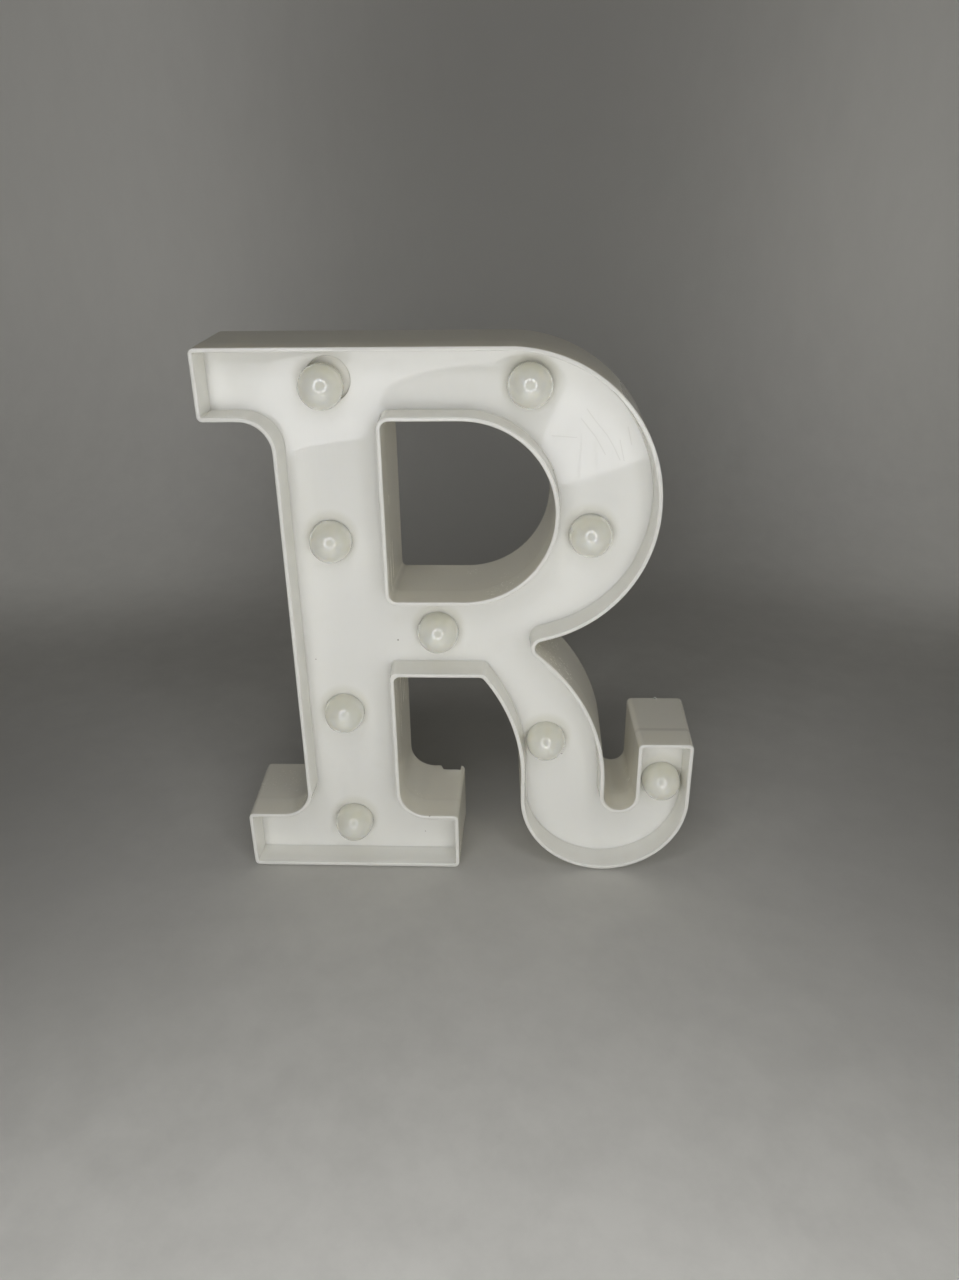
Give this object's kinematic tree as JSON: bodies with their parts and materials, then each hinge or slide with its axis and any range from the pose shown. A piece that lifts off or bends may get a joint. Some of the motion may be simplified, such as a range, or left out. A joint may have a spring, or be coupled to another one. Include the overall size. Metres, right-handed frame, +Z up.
{
  "type": "light-up letter",
  "caption": "White hollow slab-serif letter that stands on its foot, with round milky bulb caps in a recessed face, lit by battery lamps and switched at the back.",
  "frame": {"origin": "centre of the footprint, on the surface that the foot stands on", "axes": "+X to the reader's right, +Z up, the lit face looks along -Y"},
  "size_m": [0.1885, 0.039, 0.221],
  "materials": {
    "shell_white": "glossy white moulded plastic with faint scratches",
    "cover_white": "fine-textured white moulded plastic",
    "bulb_milky": "milky translucent plastic, glossy",
    "lamp_clear": "clear warm epoxy lamp",
    "screw_steel": "zinc-plated steel",
    "tray_white": "moulded plastic",
    "cell_wrap": "plain printed film sleeve over a metal can",
    "contact_steel": "nickel-plated spring steel",
    "switch_dark": "moulded plastic",
    "knob_black": "moulded plastic",
    "wire_red": "insulated wire",
    "wire_black": "insulated wire"
  },
  "bodies": {
    "letter": {"front_shell": "shell_white", "back_cover": "cover_white", "bulb_top_left": "bulb_milky", "bulb_top_right": "bulb_milky", "bulb_bowl": "bulb_milky", "bulb_stem_upper": "bulb_milky", "bulb_crossbar": "bulb_milky", "bulb_stem_lower": "bulb_milky", "bulb_leg": "bulb_milky", "bulb_tail": "bulb_milky", "bulb_foot": "bulb_milky", "led_top_left": "lamp_clear", "led_top_right": "lamp_clear", "led_bowl": "lamp_clear", "led_stem_upper": "lamp_clear", "led_crossbar": "lamp_clear", "led_stem_lower": "lamp_clear", "led_leg": "lamp_clear", "led_tail": "lamp_clear", "led_foot": "lamp_clear", "cover_screws": "screw_steel", "battery_tray": "tray_white", "cell_left": "cell_wrap", "cell_right": "cell_wrap", "bridge_contact": "contact_steel", "positive_contact": "contact_steel", "negative_contact": "contact_steel", "contact_springs": "contact_steel", "switch_frame": "contact_steel", "switch_terminals": "contact_steel", "switch_housing": "switch_dark", "red_wire": "wire_red", "switch_lead": "wire_red", "red_feed": "wire_red", "black_wire": "wire_black", "black_feed": "wire_black"},
    "battery_door": {"battery_door": "cover_white"},
    "switch_knob": {"switch_knob": "knob_black"}
  },
  "joints": [
    {"name": "battery_door_hinge", "type": "hinge", "parent": "letter", "child": "battery_door", "pos_m": [-0.04755, 0.0181, 0.1425], "axis": [1, 0, 0], "range_deg": [0, 90]},
    {"name": "switch_slide", "type": "slide", "parent": "letter", "child": "switch_knob", "axis": [-1, 0, 0], "range_m": [0, 0.004]}
  ]
}
